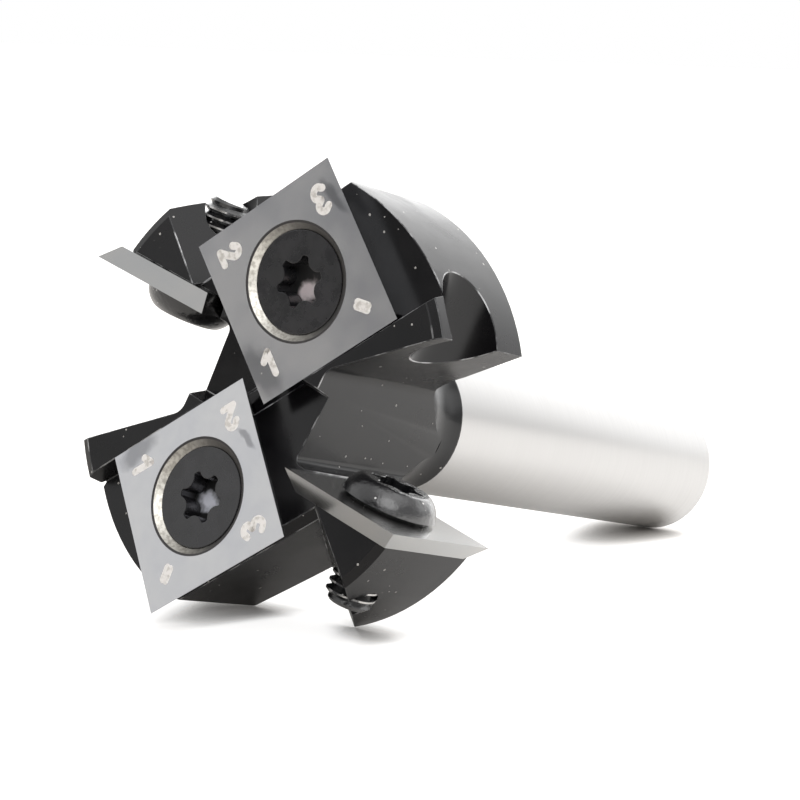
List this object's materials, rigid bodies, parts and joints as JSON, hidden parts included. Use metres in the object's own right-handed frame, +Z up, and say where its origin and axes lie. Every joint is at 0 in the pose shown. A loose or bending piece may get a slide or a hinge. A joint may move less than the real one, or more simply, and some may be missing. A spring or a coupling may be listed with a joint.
{
  "type": "bottom cleaning router bit",
  "caption": "Router cutter that skims a board flat: square carbide knives screwed to a winged steel head, flat ones for the floor and upright ones for the wall, on a straight shank.",
  "frame": {"origin": "on the table under the middle of the tool's box, as the tool lies on it", "axes": "+X along the tool's length on the table, towards the cutting end, which points 12 degrees up; +Z up"},
  "size_m": [0.0688, 0.0346, 0.0376],
  "materials": {
    "body_steel": "black oxide on the head, bright ground on the shank",
    "carbide": "ground tungsten carbide",
    "screw_steel": "black oxide, lightly oiled"
  },
  "bodies": {
    "root": {"cutter_body": "body_steel", "bottom_knife_1": "carbide", "bottom_knife_2": "carbide", "side_knife_1": "carbide", "side_knife_2": "carbide", "bottom_knife_screw_1": "screw_steel", "bottom_knife_screw_2": "screw_steel", "side_knife_screw_1": "screw_steel", "side_knife_screw_2": "screw_steel"}
  },
  "joints": []
}
